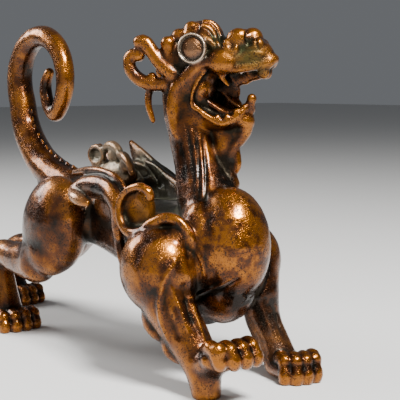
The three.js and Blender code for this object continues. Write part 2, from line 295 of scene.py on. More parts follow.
# Small spines along the inner side of the tail's root, each smaller than the one before
def spines():
    count = figurine["spineCount"]
    firstAt, rowShare = 0.015, 0.33      # as shares of the tail's length
    line = smoothLine(tail(), 400)
    run = unit(np.gradient(line[:, :3], axis=0))
    forms = []
    for i in range(count):
        k = int((firstAt + rowShare * i / count) * len(line))
        inward = np.cross((1, 0, 0), run[k])
        place = line[k, :3]
        girth = line[k, 3]
        size = 0.95 - 0.3 * i / count
        back = run[k] * 0.6
        forms.append(limb([tuple(place + inward * (girth - 1.2) - back) + (1.3 * size, 1.5 * size),
                           tuple(place + inward * (girth + 0.1) + back) + (0.75 * size, 0.85 * size),
                           tuple(place + inward * (girth + 0.6) + 1.6 * back) + (0.35, 0.35)], sides=10))
    return forms


# Four toes side by side, each with a knuckle and a blunt claw, in the paw's own directions. The
# groove is how much the joint above the claw is drawn in, and the slant leads the claws aside.
def toes(place, turn, tall, reach, width=figurine["pawWidth"], groove=0.15, slant=0):
    swing = math.radians(turn)
    forward = np.array([math.sin(swing), -math.cos(swing), 0])
    right = np.array([-math.cos(swing), -math.sin(swing), 0])
    longest, fallOff = 1.4, 1.1          # which toe leads, and how much each other one lags
    forms = []
    for i in range(figurine["toeCount"]):
        side = (i / (figurine["toeCount"] - 1) - 0.5) * width
        lead = reach - fallOff * abs(i - longest)

        def at(out, height, *radii):
            spot = np.array(place, float) - right * (side + slant * (1 - height)) + forward * (lead + out)
            return (spot[0], spot[1], spot[2] + height * tall) + radii

        forms.append(limb([at(-5, 0.62, 1.9), at(-1.6, 0.8, 2.05), at(0.2, 0.52, 1.9 - groove)], right))
        forms.append(egg(at(-0.4, 0.72), (2, 2.05, 2.1), turn=turn))
        forms.append(limb([at(0.1, 0.5, 1.9 - groove), at(0.8, 0.22, 2), at(0.3, 0, 1.8)], right))
        forms.append(egg(at(0.6, 0.2), (1.95, 1.85, 1.9), turn=turn))
        # the toe's own thickness behind the joint
        forms.append(egg(at(-1.8, 0.34), (1.75, 2.4, 2.3), turn=turn))
    return forms


def rightForeleg():
    return [
        egg((-16.5, -39.5, 31.5), (9, 11.5, 12), turn=8, tip=-14),
        # the rise to the wing's band
        egg((-13.6, -45, 40.4), (3.2, 4.2, 4.2)),
        limb([(-16.5, -41, 31, 8.5, 9.5), (-16.5, -43.2, 25, 7, 8), (-16, -46.8, 19.5, 5.8, 6.8),
              (-14.6, -51.4, 13.2, 5.2, 5.8), (-14.4, -55.4, 7.6, 4.7, 4.8), (-14, -56.4, 1.3, 3.9, 3.8)],
             sides=formDetail["bodySides"]),
        limb([(-14, -55.5, 8.5, 5, 4.2), (-14, -60, 10.8, 5.4, 3.8), (-14, -62.6, 12, 5.6, 3.4)]),
        egg((-14, -63, 12), (6.4, 3.4, 3.3), turn=-14),
        egg((-18.3, -65.8, 14.5), (2.4, 2.2, 3), turn=-14),
    ]


def leftForeleg():
    return [
        egg((14.5, -41.5, 31.5), (8, 10.5, 10.5), turn=-8, tip=-14),
        limb([(13.4, -44, 30, 7.5, 8.5), (12.8, -47, 23, 5.6, 6.2), (12.8, -48.8, 16, 4.7, 5.2),
              (14, -52, 9, 4.5, 4.9), (14.5, -55, 4.2, 5.2, 4.2)], sides=formDetail["bodySides"]),
        limb([(14.8, -54.5, 3.6, 5.4, 3.8), (13.8, -61, 3.6, 5.8, 3.6)]),
    ]


# A hind leg: the haunch and its flank, the shank that runs back to the hock, and the foot below it
def hindLeg(side, leg):
    def at(spot, *radii):
        return (side * spot[0], spot[1], spot[2]) + radii

    shank = tuple((a + b) / 2 for a, b in zip(leg["knee"], leg["hock"]))
    palm = (leg["foot"][0], leg["foot"][1] - 5, 3.4)
    return [
        egg(at(leg["hip"]), leg["haunch"], tip=leg["lean"]),
        egg(at(leg["flank"]), leg["fullness"]),
        limb([at(leg["hip"], 7.5, 9), at(leg["knee"], 6, 7)], sides=formDetail["bodySides"]),
        limb([at(leg["knee"], 5.6, 6.6), at(shank, 4.8, 5.2), at(leg["hock"], 3.7, 3.9),
              at(leg["ankle"], 3.7, 4.2), at(leg["foot"], 4.8, 4)], sides=formDetail["bodySides"]),
        limb([at(leg["foot"], 5, 3.8), at(palm, 5.6, 3.3)]),
    ]


rightHind = {
    "hip": (12, 18, 37), "haunch": (8.5, 13.5, 16), "lean": 28,
    "flank": (13.6, 19.5, 29), "fullness": (6.8, 9, 8),
    "knee": (14.5, 25, 24.5), "hock": (14, 49.5, 24.5), "ankle": (13.5, 47.5, 14), "foot": (13.5, 44.5, 4.2),
}
leftHind = {
    "hip": (10.5, 31, 39.5), "haunch": (8, 15.5, 12), "lean": -14,
    "flank": (11, 39, 33), "fullness": (6.8, 8, 7.5),
    "knee": (11.5, 46, 26.5), "hock": (9.5, 82, 19.5), "ankle": (8.5, 81, 11), "foot": (8.5, 78, 4),
}


def allToes():
    forms = toes((-12.8, -62.2, 11.5), turn=-14, tall=4.8, reach=6, width=10.4, groove=0, slant=1.2)
    forms += toes((14.9, -59.8, 1.2), turn=-26, tall=7.4, reach=4.8, width=8.5)
    for side, leg in ((-1, rightHind), (1, leftHind)):
        place = (side * leg["foot"][0], leg["foot"][1] - 3.4, 1.2)
        forms += toes(place, turn=side * 4, tall=5.6, reach=4.6)
    return forms


# Flame-like tufts that trail down the back of the right foreleg, and one on the left one
def elbowTufts():
    upper = [(-17.8, -40.8, 23.6, 2, 2), (-17.8, -38.4, 20.7, 2.5, 2.7), (-17.8, -38.4, 17.7, 2.5, 2.9),
             (-17.6, -40.2, 15.1, 1.9, 2.2), (-17.2, -42.4, 13.4, 1, 1.2)]
    lower = [(-16.4, -46, 16.7, 1.7, 1.9), (-16.4, -44.2, 13.7, 2, 2.3), (-16.4, -44.4, 11.3, 2, 2.5),
             (-16.2, -46.4, 9.7, 1.7, 2), (-16, -49.2, 8.6, 0.9, 1.2)]
    left = [(17, -44.6, 22, 1.8, 1.8), (16.5, -40.6, 19, 2, 2.3), (16.7, -40.4, 15.4, 1.4, 1.6),
            (17.2, -42.4, 13, 0.8, 0.8)]
    return [limb(stops) for stops in (upper, lower, left)]


# The right wing lies where it is drawn, and the left one is its copy
def rightPlace(stop):
    return stop


def leftPlace(stop):
    return (-stop[0] - figurine["wingTuck"], stop[1] + figurine["wingShift"]) + tuple(stop[2:])


# What fills the space between the wing's bands and the body
def wingWebs(place):
    return [
        egg(place((-16, -31.4, 46.6)), (3.4, 5.3, 6.6)),
        egg(place((-9.2, -11, 44.8)), (2, 12, 5)),
        egg(place((-10, -30, 34.5)), (5.4, 8.5, 11)),
        egg(place((-12.6, -7, 52)), (1.4, 11, 2.4)),
    ]


# The curl climbs the shoulder's front and rolls into an ear, and the arch hooks over behind it
def wingBands(place):
    curl = [(-11.6, -48.2, 36.8, 0.6, 0.7), (-13, -48.9, 40.4, 1.1, 1.2), (-14, -47.4, 43.2, 1.4, 1.6),
            (-15, -45.4, 45, 1.5, 1.7), (-16.4, -42.8, 45.4, 1.5, 1.7), (-18, -39, 43.8, 1.6, 1.7),
            (-19.2, -35.4, 41.4, 1.5, 1.7), (-19.8, -31.2, 41, 1.4, 1.7), (-20, -28.2, 43.2, 1.3, 1.6),
            (-20, -27.2, 47, 1.25, 1.5), (-19.8, -28.8, 50.4, 1.2, 1.4), (-19.4, -32.2, 52.6, 1.2, 1.3),
            (-18.8, -35.8, 53.2, 1.2, 1.3), (-18, -37.8, 52, 1.3, 1.3), (-17.6, -37.8, 50.4, 1.3, 1.2)]
    arch = [(-15.4, -20, 38, 1.3, 1.6), (-16.2, -20.6, 42.4, 1.5, 2.1), (-16.6, -21.6, 46, 1.8, 2.8),
            (-16, -18, 49.4, 2, 3.2), (-15.2, -13.2, 50.6, 2.1, 3.4), (-15, -7.3, 50.9, 2.1, 3.4),
            (-15.2, -2, 50.5, 1.9, 2.7), (-16, 1.6, 49, 1.5, 1.8)]
    tongue = [(-16.2, 1.6, 48.8, 1.3, 1.5), (-17.6, -1.4, 48, 1.8, 1.9), (-18.2, -5.2, 47.2, 1.7, 1.8),
              (-17.8, -8.6, 46.4, 0.9, 1.1)]
    upper = [(-12.6, -20.4, 46.6, 0.9, 1.1), (-13, -20, 50, 1, 1.3), (-13, -16.6, 53.4, 1.1, 1.5),
             (-12.6, -10, 54.8, 1.1, 1.5), (-11.5, 0, 54.8, 1.1, 1.5), (-9.5, 11, 53.4, 0.8, 1.0)]
    rib = [(-14, -16.5, 45, 1.4, 1.7), (-14.6, -19.2, 37, 1.5, 1.6), (-15, -23, 29.5, 1.3, 1.6),
           (-15.2, -31, 20.5, 0.9, 1)]
    return [limb([place(stop) for stop in stops]) for stops in (curl, arch, tongue, upper, rib)]


# The left wing's upper half stands over the back: blades with rims, an oval ring and lobes
def raisedWing():
    blades = [
        [(8, -23, 44, 2.2, 4.2), (9.5, -12, 47.5, 1.8, 6.6), (11.5, 0, 52.2, 1.4, 5.6),
         (12.6, 8, 57.5, 1.1, 3.6), (13, 12.5, 61.8, 0.7, 1.1)],
        [(5, -30, 42, 2, 4), (6.6, -20, 46.5, 1.8, 5.2), (8, -9, 51.4, 1.3, 3.8), (8.8, -1, 56.2, 0.7, 1.2)],
        [(7, -4, 45, 2.6, 4.2), (8, 8, 49.5, 2, 5), (10, 19, 54.5, 1.6, 3.8), (11.6, 28, 60, 0.9, 1.1)],
        [(7, -26, 40, 2, 4), (7, -17, 43.6, 1.8, 6), (7, -9, 46, 1.8, 6.4), (7.4, 0, 46, 2, 6)],
    ]
    rims = [
        [(9.5, -20, 48.5, 0.8), (9.8, -10, 53.2, 0.8), (11.4, 0, 57.4, 0.8), (12.8, 8, 60.4, 0.7),
         (13, 12.5, 62.2, 0.6)],
        [(6, -25, 47, 0.8), (7.2, -16, 51.6, 0.8), (8.4, -7, 55.4, 0.8), (9, -0.6, 57, 0.6)],
    ]
    ring = []
    ringStops = 16
    for k in range(ringStops + 1):
        a = math.radians(k * 360 / ringStops)
        ring.append((1.4, 14.6 + 3.6 * math.cos(a), 58.2 + 2.6 * math.sin(a), 1, 0.9))
    frontLobe = [(2, 11, 60.4, 1.2), (1.6, 7, 61.6, 1.5), (1, 2.6, 60.4, 1.3), (0.6, 0.4, 58, 1)]
    lastLobe = [(0.6, 1.6, 59, 1.1), (-0.4, -2.4, 58.8, 1.4), (-1.4, -6.2, 57, 1.3), (-1.8, -8.4, 54, 1)]
    forms = [limb(stops) for stops in blades + rims]
    forms += [limb(ring), egg((2.6, 14.6, 57.8), (1.2, 3, 2.2)), egg((3, 14, 54), (2.6, 5, 3.4))]
    forms += [limb(frontLobe), egg((1.6, 5.6, 58.6), (1.8, 2.6, 2.4)), limb(lastLobe)]
    forms += [egg((0.4, -2.6, 56), (1.8, 3, 2.6)), egg((2, 4, 53), (3, 9, 4))]
    return forms


eye = {
    "ahead": 1.9,
    "aside": 5.7,
    "up": 3.5,
    "ringAside": 6.7,
    "ringRadius": 3.75,
    "ringStops": 18,
    # The rim entries place the eyes' painted highlight, a pale line on the ring.
    "rimAside": 6.8,         # the pale line on the ring
    "rimRadius": 3.8,
    "rimWidth": 0.32,
    "rimInner": 0.5,         # how far it reaches towards the head's middle, and outwards
    "rimOuter": 3,
}


def skull():
    return [
        headEgg((0, 0, 0.6), (6.2, 9.3, 7)),
        headLimb([(2, 0, 0.3, 6.2, 4.2), (10, 0, 0.2, 5.4, 3.2), (17, 0, 0.9, 4.6, 2.8),
                  (22.6, 0, 0.5, 2.4, 1.5)]),
        headLimb([(4, 0, 3.6, 4.6, 4), (9.6, 0, 3, 4, 3.6), (15, 0, 3, 4, 3.6), (19, 0, 1.8, 3, 2.6)]),
        headEgg((17.6, 0, 2.2), (4.4, 4.8, 3.6)),
        headLimb([(-3, 0, -10.5, 5.4, 4.4), (3, 0, -14.6, 4.8, 2.8), (9, 0, -16.4, 3.9, 2.2),
                  (13.8, 0, -15, 2.8, 2.2), (16, 0, -12.4, 1.8)]),
        headLimb([(-4, 0, -3, 5.6, 4.8), (-4.6, 0, -9, 5, 4.4), (-4, 0, -15, 5, 4.4)]),
        # the cheeks' walls
        headEgg((-1.2, -4.2, -9), (1.3, 3.6, 7)),
        headEgg((-1.2, 4.2, -9), (1.3, 3.6, 7)),
    ]


# The nose's scrolls: a big one each side with a volute below it, a middle one, and two small ones ahead
def noseScrolls():
    volute = [(10.8, -4.5, 5, 0.9), (11.2, -4.9, 3, 1), (12.8, -4.9, 2.4, 0.9), (13.6, -4.9, 3.4, 0.8)]
    forms = eggPair((13.4, -2.7, 5.9), (2.4, 3.2, 2.9), tip=-18)
    forms += [headEgg((16.6, 0, 6.1), (2.7, 2.9, 2.9))]
    forms += eggPair((18.8, -2.2, 4.3), (1.7, 1.8, 1.9))
    forms += limbPair(volute)
    return forms


# The full upper lip, and the fold that runs back from it round the mouth's corner
def lips():
    fold = [(8, -5, 0.4, 1.4, 1.5), (3.4, -5.8, -1, 1.2, 1.7), (0.4, -6, -3.8, 1.1, 1.8),
            (-2.6, -5.9, -7, 1.0, 1.9), (-4, -5.7, -11, 0.9, 1.9), (-4, -5.3, -15, 1.0, 1.7),
            (-2.6, -4.8, -18.4, 1.1, 1.3)]
    edge = [(10.6, -4.8, -2.4, 0.9), (14, -4.3, -2, 1.15), (18, -3.2, -1.2, 1.3), (21.6, -1.4, -0.2, 1.7)]
    return eggPair((9.4, -4.3, 0), (2.7, 4.4, 3.5), tip=10) + limbPair(fold) + limbPair(edge)


# The mouth's thin inner edge, which runs on as the jaw's rim, and the jaw's upright knob
def jawRim():
    rim = [(5, -5.2, -2.6, 0.55), (3, -5.4, -5, 0.6), (1.7, -5.4, -8.4, 0.65), (1.6, -5.2, -11, 0.7),
           (3.6, -5, -13, 0.8), (6, -4.8, -14.8, 1), (9.2, -4, -16.4, 1.1), (12.4, -3, -15, 1.1),
           (15, -1.4, -12.4, 1.3)]
    knob = [(15.4, 0, -13.4, 2, 1.8), (16.2, -0.4, -11.6, 1.3, 1.3), (16.7, -0.6, -9.8, 1.5, 1.4)]
    return limbPair(rim) + [headLimb(knob), headEgg((14.4, 0, -15.6), (2.9, 2.8, 3.2), tip=-30)]


# Tongue, fangs, teeth, and the left cheek, which reaches further forward and closes the mouth's far side
def mouth():
    tongue = [(2, 0, -9.4, 2.6, 1.5), (6, 0, -11.8, 2.4, 1.2), (10, 0, -13.8, 2, 1),
              (12.6, 0, -13.2, 1.2, 0.8)]
    fang = [(8.9, -4, -2.8, 0.9), (9.8, -4, -4.6, 0.8), (11.2, -3.9, -6.4, 0.45)]
    cheekTop = [(7, 4.4, -2, 1, 1.6), (12, 4.3, -3.4, 1, 1.8), (16.4, 3.8, -3.6, 1, 1.5),
                (19.4, 2.6, -3, 0.9, 1.2)]
    cheekEdge = [(5.6, 3.7, -7, 0.5), (8.8, 3.5, -9.8, 0.6), (11.6, 3, -11.9, 0.5)]
    forms = [headLimb(tongue)] + limbPair(fang)
    forms += [headEgg((4, 4.7, -7.5), (1, 3.8, 5)), headEgg((8, 4.5, -8), (1, 4, 4.6)),
              headEgg((12.6, 4.2, -4), (1, 3.2, 2.4)), headEgg((9.4, 4, -12), (1, 3.4, 2.8))]
    forms += [headLimb(cheekTop), headLimb(cheekEdge)]
    forms += eggPair((20, -1.2, -2.6), (1.4, 1.8, 2.2), tip=-14)
    forms += limbPair([(14, -3, -1.6, 0.9), (14.4, -3, -3, 0.6)])
    for lowerTooth in ((8.4, -4.4, -15.2), (10.8, -3.8, -15), (13, -2.9, -13.6)):
        forms += eggPair(lowerTooth, (0.9, 0.85, 1.4))
    return forms


# The beard that hangs from the chin to the breast, the throat behind it, and a curl on its front
def beard():
    strand = [(14.6, 0, -15, 2.2), (14.8, 0, -18, 2), (13.4, 0, -20.6, 1.7), (11.4, 0, -23, 1.6),
              (10.2, 0, -26, 1.6), (10.2, 0, -29, 1.7), (10.6, 0, -33, 2.6)]
    throat = [(7, 0, -16, 2.2, 3.4), (9, 0, -20, 2, 3.4), (8.2, 0, -25, 1.9, 2.6), (8.4, 0, -30.5, 2.2, 2.6)]
    curl = [(11.8, 0, -22, 1), (12.4, 0, -25, 1.1), (12.6, 0, -28.2, 1.1), (11.4, 0, -29.8, 0.9),
            (10.6, 0, -28, 0.7)]
    return [headLimb(strand), headLimb(throat), headEgg((11.8, 0, -18.6), (1.8, 2.6, 2.6)), headLimb(curl)]


def eyes():
    forms = []
    for side in (-1, 1):
        forms.append(headEgg((eye["ahead"], side * eye["aside"], eye["up"]), (2.0, 3.3, 3.3)))
        ring = []
        for k in range(eye["ringStops"] + 1):
            a = math.radians(k * 360 / eye["ringStops"])
            ring.append((eye["ahead"] + eye["ringRadius"] * math.cos(a), side * eye["ringAside"],
                         eye["up"] + eye["ringRadius"] * math.sin(a), 0.8, 0.34))
        forms.append(headLimb(ring))
    return forms


# The brow, the forelock of curved strands over it, and the locks behind the head
def mane():
    brow = [(9.4, -3.6, 3.6, 1.2), (6.6, -4.2, 4.8, 1.4), (3.2, -4.2, 6.6, 1.4), (0, -4, 7.4, 1.3)]
    forms = limbPair(brow)
    for lateral, reach, top in ((-0.9, 7.2, 10.2), (-2.2, 6.2, 9.4), (-3.3, 5, 8.2)):
        forms += limbPair([(reach + 0.8, lateral - 0.5, 3.6, 0.8), (reach + 0.4, lateral - 0.2, 6, 1.05),
                           (reach - 1.2, lateral, top - 1.2, 1.25), (reach - 3.4, lateral, top, 1.35),
                           (reach - 5.4, lateral, top - 0.9, 1.1)])
    forms += [headLimb([(5.4, 0, 6.6, 2), (3.4, 0, 9, 1.9), (0.6, 0, 9, 1.9), (-1.5, 0, 7.6, 1.8)])]
    forms += eggPair((0.4, -2.5, 9), (1.9, 2.1, 1.9))
    forms += eggPair((-3, -3, 7), (1.9, 2.2, 2))
    forms += [headLimb([(-1, 0, 8, 2), (-6, 0, 5, 2.2), (-8.6, 0, 0.4, 1.6)])]
    # locks that curl up behind the head; those of the far side lie closer to it
    forms += [headLimb(stops) for stops in (
        [(-4, -4.8, -3.4, 2), (-6.4, -5.2, -1.6, 2), (-8.6, -5.4, 0.8, 1.95), (-10.6, -5.5, 3.6, 1.95),
         (-12.4, -5.5, 5.4, 2.1), (-13.6, -5.4, 5.4, 1.9)],
        [(-4.6, -4.4, -0.6, 1.7), (-5.3, -4.7, 2, 1.7), (-5.6, -4.8, 4.9, 2.1)],
        [(-4.5, -3.8, -5, 2), (-7.4, -4, -6, 1.9), (-11.1, -4.4, -5.9, 1.9), (-14.8, -4.6, -4.2, 1.9),
         (-16.8, -4.8, -1.6, 1.8), (-17, -4.8, 0.9, 1.7), (-15.6, -4.8, 2.4, 1.6), (-14.2, -4.8, 1.8, 1.8)],
        [(-9.6, -4, -5.4, 1.3), (-10.4, -4.6, -3.8, 1.2)],
        [(-8.9, -3.4, -6, 1.4), (-11.4, -3.8, -7.8, 1.1), (-11.8, -4, -11.4, 1), (-11, -4, -14.2, 0.9),
         (-10.4, -4, -16, 0.75)],
        [(-1, 4.8, -1, 1.9), (-3.4, 5.2, 1, 1.9), (-5.6, 5.4, 3.2, 1.8), (-8, 5.4, 4, 1.9)],
        [(-2, 4.6, 3, 1.7), (-3, 4.6, 5, 1.7), (-3.4, 4.6, 6, 1.8)],
        [(-3.5, 3.8, -5, 2), (-6.4, 4.4, -6, 1.9), (-9.6, 4.6, -4.8, 1.8), (-11.4, 4.6, -2.4, 1.7),
         (-10.8, 4.6, 0, 1.5), (-9.4, 4.6, 0, 1.5)],
        [(-5.9, 3.4, -6, 1.3), (-7.4, 3.8, -8.8, 1.1), (-7.2, 4, -12.4, 1), (-6.4, 4, -15.4, 0.8)],
    )]
    hingeTuft = [(-4.4, -4.6, -14, 1.5), (-3.6, -4.8, -18, 1.5), (-1.6, -4.6, -21, 1.1), (1, -4.2, -22, 0.8)]
    return forms + limbPair(hingeTuft)


# Three rounds of modelling, each finer than the one before: masses, forms and small parts
def modelledCasting():
    print("modelling the masses")
    masses = trunk() + [limb(tail(), sides=24)] + rightForeleg() + leftForeleg()
    masses += hindLeg(-1, rightHind) + hindLeg(1, leftHind) + skull()
    masses += wingWebs(rightPlace) + wingWebs(leftPlace)
    mesh = fused(masses, figurine["coarseGrain"])
    soften(mesh, 9, outer=0.2)
    print("modelling wings, face and mane")
    forms = wingBands(rightPlace) + wingBands(leftPlace) + raisedWing()
    forms += noseScrolls() + lips() + jawRim() + mouth() + beard() + mane() + elbowTufts()
    mesh = fused([mesh] + forms, figurine["mediumGrain"])
    soften(mesh, 4, outer=0.25)
    print("modelling toes, eyes and spines")
    mesh = fused([mesh] + allToes() + eyes() + spines(), figurine["fineGrain"])
    soften(mesh, 2, outer=0.4)
    return mesh


azimuth, down = math.radians(photoView["azimuth"]), math.radians(photoView["down"])
lookAlong = np.array([math.sin(azimuth) * math.cos(down), math.cos(azimuth) * math.cos(down),
                      -math.sin(down)])
lookRight = np.array([math.cos(azimuth), -math.sin(azimuth), 0])
lookUp = np.cross(lookRight, lookAlong)

# Lines that the photo's camera sees. A line is its pixels, its half width and how far it
# rises, in millimetres, or sinks where that is negative.
seenLines = {
    "neck": [
        ([(176, 126), (181, 150), (184, 170), (187, 192)], 0.9, -0.3),
        ([(186, 122), (190, 145), (193, 170), (194, 196)], 0.7, -0.4),
        ([(195, 126), (198, 150), (199, 175), (199, 200)], 0.6, -0.45),
        ([(203, 136), (205, 158), (206, 178), (205, 200)], 0.6, -0.45),
    ],
    "breast": [
        ([(189, 299), (205, 291), (222, 284), (236, 276)], 0.4, 0.4),
        ([(192, 303), (207, 295), (224, 288), (238, 280)], 0.5, -0.35),
        ([(271, 252), (268, 274), (260, 292), (242, 305)], 0.5, -0.35),
        ([(206, 190), (204, 212), (206, 233), (205, 256), (207, 280)], 0.8, -0.25),
        ([(193, 246), (199, 256), (203, 266), (205, 278)], 0.6, 0.45),
        ([(214, 208), (209, 222), (212, 238)], 0.7, -0.2),
        ([(224, 214), (236, 219), (249, 215)], 0.9, 0.15),
    ],
    "foreleg": [
        ([(175, 262), (166, 276), (161, 290), (159, 306), (161, 322), (167, 340)], 0.75, 0.6),
        ([(166, 292), (167, 312), (176, 336)], 1.0, -0.5),
        ([(171, 288), (176, 300), (182, 314), (188, 331)], 0.6, 0.5),
        ([(190, 292), (196, 315), (203, 335), (207, 346)], 0.8, 0.45),
        ([(183, 286), (189, 312), (199, 334)], 0.8, -0.5),
        ([(176, 226), (184, 238), (188, 254), (190, 272)], 0.9, -0.4),
        ([(150, 238), (140, 250), (134, 268)], 1.2, -0.25),
    ],
    "farForeleg": [
        ([(262, 305), (268, 322), (276, 340)], 0.8, 0.4),
        ([(271, 300), (277, 320), (284, 338)], 0.8, -0.4),
    ],
    "snout": [
        ([(247, 31), (246, 38), (249, 45)], 0.4, -0.5),
        ([(257, 36), (256, 42), (258, 48)], 0.4, -0.4),
        ([(238, 54), (247, 50), (258, 50), (266, 52)], 0.5, -0.2),
    ],
    "mouth": [
        ([(204, 72), (196, 84), (191, 97), (192, 107), (201, 112)], 0.45, 0.4),
        ([(207, 74), (200, 86), (196, 97), (197, 104)], 0.5, -0.4),
    ],
    "forelock": [
        ([(202, 22), (211, 23), (218, 31), (221, 45)], 0.42, -0.55),
        ([(200, 28), (207, 29), (213, 36), (216, 46)], 0.42, -0.55),
        ([(201, 18), (200, 25), (198, 32)], 0.45, -0.5),
    ],
    "haunch": [
        ([(60, 200), (56, 216), (58, 236), (66, 254)], 2.2, -0.2),
        ([(100, 226), (90, 246), (76, 262)], 1.6, -0.2),
    ],
    "wing": [
        ([(86, 174), (100, 173), (112, 182), (120, 198)], 0.5, -0.3),
        ([(138, 158), (150, 170), (160, 186)], 0.6, -0.4),
        ([(130, 156), (138, 172), (150, 190)], 0.6, -0.4),
    ],
}


# Where a line of pixels meets the casting, with its step's number; a jump onto another form is left out
def metSpots(tree, pixels, steps, jump):
    eyePoint = Vector(photoView["place"])
    half = photoView["frameSize"] / 2
    hits = []
    for px, py, _ in smoothLine([pixel + (0,) for pixel in pixels], steps):
        way = lookAlong * photoView["focal"] + lookRight * (px - half) + lookUp * (half - py)
        hit = tree.ray_cast(eyePoint, Vector(way).normalized())[0]
        hits.append(None if hit is None else np.array(hit))
    for k in range(1, steps):
        both = hits[k] is not None and hits[k - 1] is not None
        if both and np.linalg.norm(hits[k] - hits[k - 1]) > jump:
            hits[k] = None
    return [(k, hit) for k, hit in enumerate(hits) if hit is not None]


# Raises or sinks the skin along the lines, and less so towards their ends
def workLinesIn(mesh, lines):
    steps, jump, endShare = 60, 4, 0.06  # steps of a line, millimetres, share of the line
    points = getPoints(mesh)
    normals = getPoints(mesh, "normal")
    tree = BVHTree.FromPolygons([Vector(p) for p in points], [tuple(f.vertices) for f in mesh.polygons])
    move = np.zeros(len(points))
    for pixels, width, rise in lines:
        found = metSpots(tree, pixels, steps, jump)
        if not found:
            print("a line meets nothing, from pixel", pixels[0])
            continue
        spots = np.array([hit for _, hit in found])
        parts = [endShare + (1 - 2 * endShare) * k / (steps - 1) for k, _ in found]
        fade = np.array([math.sin(math.pi * part) ** 0.5 for part in parts])
        low, high = spots.min(axis=0) - 3 * width, spots.max(axis=0) + 3 * width
        near = np.nonzero(((points > low) & (points < high)).all(axis=1))[0]
        gap = np.linalg.norm(points[near][:, None] - spots[None], axis=2)
        nearest = gap.argmin(axis=1)
        distance = gap[np.arange(len(near)), nearest]
        move[near] += rise * fade[nearest] * np.exp(-(distance / width) ** 2)
    setPoints(mesh, points + normals * move[:, None])


# Hollows that are wider than a line: how deep, and how far they reach
dents = {
    "earCurl": ((-19.2, -32.4, 46.8), 1.4, 3.9),
    "leftEarCurl": ((17.2, -21.4, 46.8), 1.4, 3.9),
    "cheek": (inHead((-0.8, -6.2, -9.5)), 0.5, 2.4),
    "leftCheek": (inHead((-0.8, 6.2, -9.5)), 0.5, 2.4),
    "wristFold": ((-19.4, -50.2, 17.5), 0.6, 3.2),
    "loin": ((-10, 4, 36), 0.8, 7),
    "leftLoin": ((10, 8, 36), 0.8, 7),
}


def pressDents(mesh):
    points = getPoints(mesh)
    normals = getPoints(mesh, "normal")
    for place, depth, reach in dents.values():
        away = points - np.array(place[:3])
        points -= normals * (depth * np.exp(-(away ** 2).sum(axis=1) / reach ** 2))[:, None]
    setPoints(mesh, points)


# The waviness of wax worked by hand: each wave's height, and its pace along the surface
handWaves = ((0.07, 0.4), (0.04, 1.3))


def unevenSkin(mesh):
    points = getPoints(mesh)
    normals = getPoints(mesh, "normal")
    move = np.array([sum(height * noise.noise(Vector(p) * pace) for height, pace in handWaves)
                     for p in points])
    setPoints(mesh, points + normals * move[:, None])


# The floor cuts the feet, and nothing reaches past the CAD solid's own box
def cutToSize(mesh):
    points = getPoints(mesh)
    points[:, 2] = np.maximum(points[:, 2], figurine["soleHeight"])
    low, high = (np.array(corner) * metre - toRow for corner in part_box("pixiu"))
    setPoints(mesh, (np.clip(points, low, high) + toRow) / metre)


def triangleCount(mesh):
    return sum(len(face.vertices) - 2 for face in mesh.polygons)


def addAttribute(mesh, name, values):
    made = mesh.attributes.new(name, "FLOAT", "POINT")
    made.data.foreach_set("value", np.ascontiguousarray(values, np.float32))


# How far each point stands out from its near and its wider surroundings, in millimetres
def measureRelief(mesh):
    points = getPoints(mesh) * metre
    normals = getPoints(mesh, "normal")
    ends = edgesOf(mesh)
    nearRounds, wideRounds = 6, 70
    fine = ((points - averaged(points, ends, nearRounds)) * normals).sum(axis=1)
    broad = ((points - averaged(points, ends, wideRounds)) * normals).sum(axis=1)
    relief = averaged(np.stack([fine, broad], axis=1), ends, 1)
    addAttribute(mesh, "fineRelief", relief[:, 0])
    addAttribute(mesh, "broadRelief", relief[:, 1])
